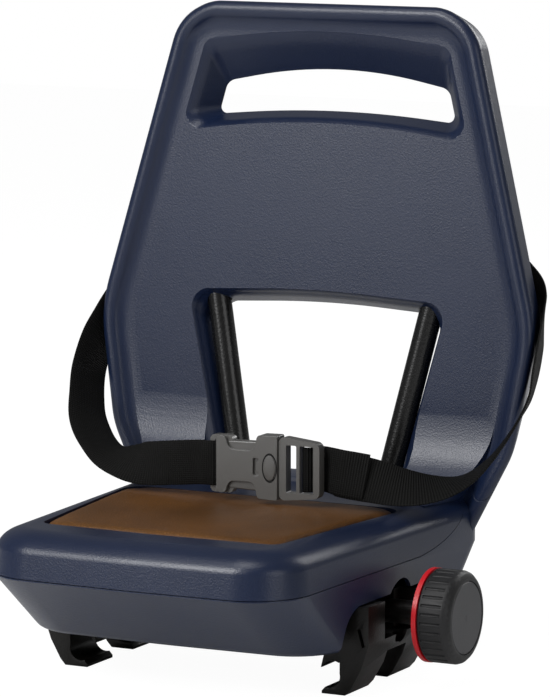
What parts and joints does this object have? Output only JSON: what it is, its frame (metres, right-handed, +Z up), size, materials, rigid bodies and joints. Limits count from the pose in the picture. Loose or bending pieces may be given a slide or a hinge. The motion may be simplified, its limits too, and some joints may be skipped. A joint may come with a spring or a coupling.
{
  "type": "rear child bike seat",
  "caption": "Moulded bucket seat for a small child on a bicycle's rear carrier, with a handle recess, seat pad, lap belt with buckle, back frame and rail clamp with a knob.",
  "frame": {"origin": "middle of the clamp base's flat underside, which rests on the bicycle's carrier", "axes": "+X to the seated child's left, +Y to the rear, +Z up"},
  "size_m": [0.3402, 0.3122, 0.4237],
  "materials": {
    "shell": "fine grain, navy",
    "pad": "brown leather look",
    "webbing": "ribbed webbing, near black",
    "buckle": "satin, dark grey",
    "tube": "satin black",
    "clamp": "matt, charcoal",
    "knob": "satin, dark grey",
    "ring": "red",
    "steel": "zinc plated"
  },
  "bodies": {
    "seat": {"front_shell": "shell", "tub_shell": "shell", "back_cover": "shell", "seat_pad": "pad", "frame_tube_left": "tube", "frame_tube_right": "tube", "tube_saddle_left": "clamp", "tube_saddle_right": "clamp", "saddle_screws": "steel", "shell_screws": "steel", "belt_anchor_left": "steel", "belt_anchor_right": "steel", "anchor_screws": "steel", "belt_left": "webbing", "belt_right": "webbing", "buckle_socket": "buckle", "clamp_base": "clamp", "base_screws": "steel", "guide_rods": "steel", "spindle_nut": "steel", "jaw_left": "clamp", "jaw_left_screws": "steel"},
    "jaw": {"jaw_right": "clamp", "thrust_washer": "steel"},
    "knob": {"spindle": "steel", "spacer_sleeve": "knob", "circlip": "steel", "knob_ring": "ring", "knob": "knob", "knob_cap": "knob"},
    "clip": {"buckle_clip": "buckle"}
  },
  "joints": [
    {"name": "jaw_slide", "type": "slide", "parent": "seat", "child": "jaw", "axis": [-1, 0, 0], "range_m": [0, 0.014]},
    {"name": "knob_turn", "type": "hinge", "parent": "jaw", "child": "knob", "pos_m": [0.15, 0, 0.027], "axis": [-1, 0, 0], "range_deg": [0, 2520]},
    {"name": "buckle_release", "type": "slide", "parent": "seat", "child": "clip", "axis": [1, 0, 0], "range_m": [0, 0.03], "deforming": ["belt_right"]}
  ],
  "couplings": [
    {"joint": "jaw_slide", "follows": "knob_turn", "m_per_rad": 0.00031831}
  ]
}
